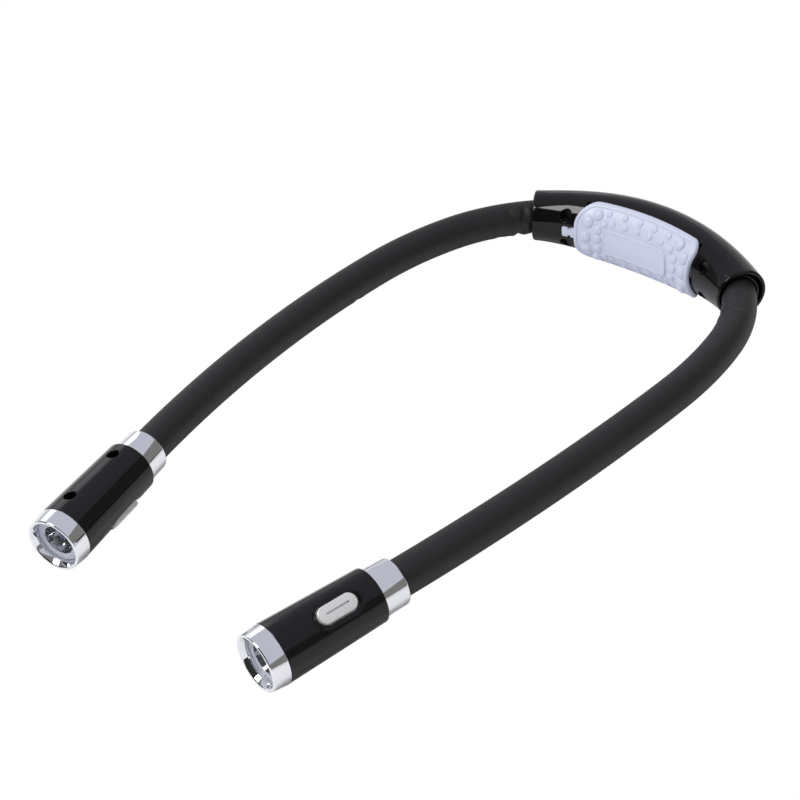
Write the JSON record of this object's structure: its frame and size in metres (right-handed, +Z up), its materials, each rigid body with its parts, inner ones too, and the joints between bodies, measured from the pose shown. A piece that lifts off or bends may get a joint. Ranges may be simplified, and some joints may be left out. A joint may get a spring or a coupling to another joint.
{
  "type": "neck reading light",
  "caption": "Neck reading light: a curved battery housing with a soft pad rests on the nape, and a bendable neck on each side carries a small lamp head with a push button.",
  "frame": {"origin": "middle of the object's footprint, on the surface that it lies on", "axes": "+Z up from the table; the lamp heads point to -Y and the battery housing is at +Y; +X is the wearer's left"},
  "size_m": [0.1518, 0.2844, 0.0275],
  "materials": {
    "shell": "glossy black",
    "door": "pale blue-grey",
    "pad": "pale blue-grey, satin",
    "sleeve": "matte black",
    "core": "bare steel",
    "ferrule": "plain",
    "cell": "plain wrap",
    "tray": "matte black",
    "contact": "nickel plated",
    "board": "green solder mask",
    "screw": "zinc plated",
    "head": "glossy black",
    "chrome": "bright chrome",
    "lens": "clear",
    "reflector": "bright",
    "led": "clear over yellow",
    "button": "satin silver",
    "switch": "matte black"
  },
  "bodies": {
    "housing": {"neck_shell": "shell", "back_shell": "shell", "upper_cell": "cell", "lower_cell": "cell", "battery_tray": "tray", "contact_plates": "contact", "contact_springs": "contact", "driver_board": "board", "housing_screws": "screw", "left_root_ferrule": "ferrule", "left_neck_root_sleeve": "sleeve", "left_neck_root_core": "core", "right_root_ferrule": "ferrule", "right_neck_root_sleeve": "sleeve", "right_neck_root_core": "core"},
    "door": {"battery_door": "door", "soft_pad": "pad"},
    "left_neck_1": {"left_neck_1_sleeve": "sleeve", "left_neck_1_core": "core"},
    "left_neck_2": {"left_neck_2_sleeve": "sleeve", "left_neck_2_core": "core"},
    "left_neck_3": {"left_neck_3_sleeve": "sleeve", "left_neck_3_core": "core"},
    "left_neck_4": {"left_neck_4_sleeve": "sleeve", "left_neck_4_core": "core", "left_head_rear_ring": "chrome", "left_head_button_half": "head", "left_head_screw_half": "head", "left_head_bezel": "chrome", "left_head_lens": "lens", "left_head_reflector": "reflector", "left_head_led": "led", "left_head_led_board": "board", "left_head_switch": "switch", "left_head_switch_board": "board", "left_head_screws": "screw"},
    "left_button": {"left_head_button": "button"},
    "right_neck_1": {"right_neck_1_sleeve": "sleeve", "right_neck_1_core": "core"},
    "right_neck_2": {"right_neck_2_sleeve": "sleeve", "right_neck_2_core": "core"},
    "right_neck_3": {"right_neck_3_sleeve": "sleeve", "right_neck_3_core": "core"},
    "right_neck_4": {"right_neck_4_sleeve": "sleeve", "right_neck_4_core": "core", "right_head_rear_ring": "chrome", "right_head_button_half": "head", "right_head_screw_half": "head", "right_head_bezel": "chrome", "right_head_lens": "lens", "right_head_reflector": "reflector", "right_head_led": "led", "right_head_led_board": "board", "right_head_switch": "switch", "right_head_switch_board": "board", "right_head_screws": "screw"},
    "right_button": {"right_head_button": "button"}
  },
  "joints": [
    {"name": "door_hinge", "type": "hinge", "parent": "housing", "child": "door", "pos_m": [0.0262, 0.11523, 0.01375], "axis": [0, 0, 1], "range_deg": [0, 60]},
    {"name": "left_neck_bend_1", "type": "hinge", "parent": "housing", "child": "left_neck_1", "pos_m": [0.05384, 0.1083, 0.01432], "axis": [0, 0, 1], "range_deg": [-13, 30]},
    {"name": "left_neck_bend_2", "type": "hinge", "parent": "left_neck_1", "child": "left_neck_2", "pos_m": [0.06835, 0.06115, 0.01656], "axis": [0.9942, 0.108, 0], "range_deg": [-30, 30]},
    {"name": "left_neck_bend_3", "type": "hinge", "parent": "left_neck_2", "child": "left_neck_3", "pos_m": [0.06888, 0.01141, 0.01721], "axis": [0, 0, 1], "range_deg": [-22, 30]},
    {"name": "left_neck_bend_4", "type": "hinge", "parent": "left_neck_3", "child": "left_neck_4", "pos_m": [0.06497, -0.0382, 0.01627], "axis": [0.9931, -0.1177, 0], "range_deg": [-30, 30]},
    {"name": "left_button_press", "type": "slide", "parent": "left_neck_4", "child": "left_button", "axis": [-0.5233, 0.1609, -0.8368], "range_m": [0, 0.0007], "stiffness_N_per_m": 1000, "springref_m": -0.0008},
    {"name": "right_neck_bend_1", "type": "hinge", "parent": "housing", "child": "right_neck_1", "pos_m": [-0.05384, 0.1083, 0.01432], "axis": [0, 0, 1], "range_deg": [-30, 13]},
    {"name": "right_neck_bend_2", "type": "hinge", "parent": "right_neck_1", "child": "right_neck_2", "pos_m": [-0.06835, 0.06115, 0.01656], "axis": [0.9942, -0.108, 0], "range_deg": [-30, 30]},
    {"name": "right_neck_bend_3", "type": "hinge", "parent": "right_neck_2", "child": "right_neck_3", "pos_m": [-0.06888, 0.01141, 0.01721], "axis": [0, 0, 1], "range_deg": [-30, 22]},
    {"name": "right_neck_bend_4", "type": "hinge", "parent": "right_neck_3", "child": "right_neck_4", "pos_m": [-0.06497, -0.0382, 0.01627], "axis": [0.9931, 0.1177, 0], "range_deg": [-30, 30]},
    {"name": "right_button_press", "type": "slide", "parent": "right_neck_4", "child": "right_button", "axis": [-0.6844, -0.184, 0.7055], "range_m": [0, 0.0007], "stiffness_N_per_m": 1000, "springref_m": -0.0008}
  ]
}
